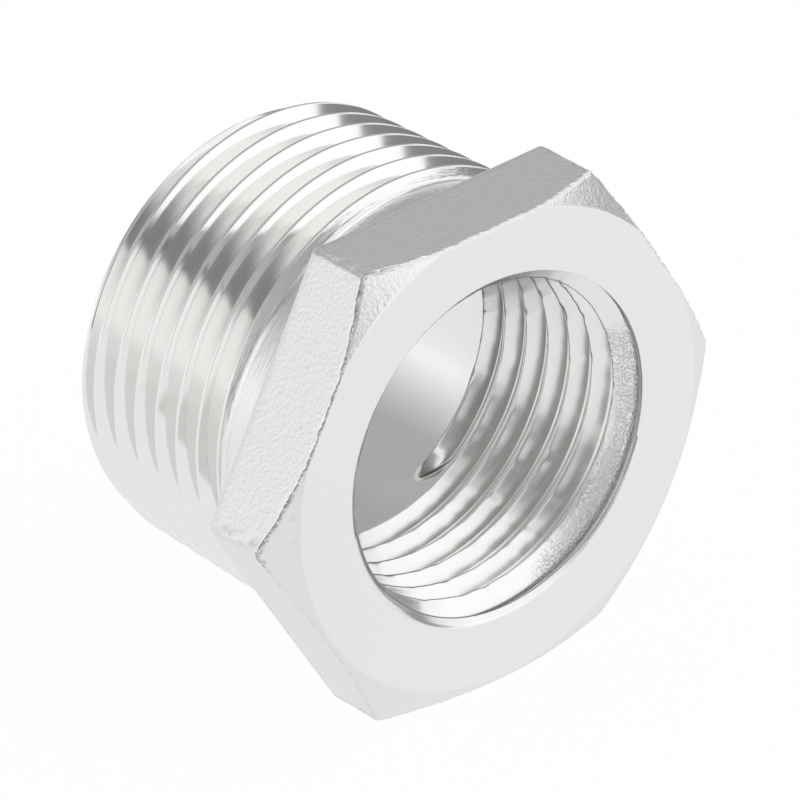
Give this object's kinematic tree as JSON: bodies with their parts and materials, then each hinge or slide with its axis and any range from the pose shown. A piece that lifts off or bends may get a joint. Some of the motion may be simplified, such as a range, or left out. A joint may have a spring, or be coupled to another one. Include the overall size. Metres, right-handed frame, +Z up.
{
  "type": "hex bushing",
  "caption": "Cast stainless hex reducing bushing with a taper thread outside and a tapped bore inside.",
  "frame": {"origin": "on the floor under the middle of the bushing, which lies on one flat of its head", "axes": "-Y out of the tapped face of the head, +Y out of the stub's end, +Z up, square to the flat it lies on"},
  "size_m": [0.0326, 0.0212, 0.0284],
  "materials": {
    "stainless_steel": "cast stainless steel with a fine blasted grain, turned bright on the face, the threads and the bore"
  },
  "bodies": {
    "root": {"hex_bushing": "stainless_steel"}
  },
  "joints": []
}
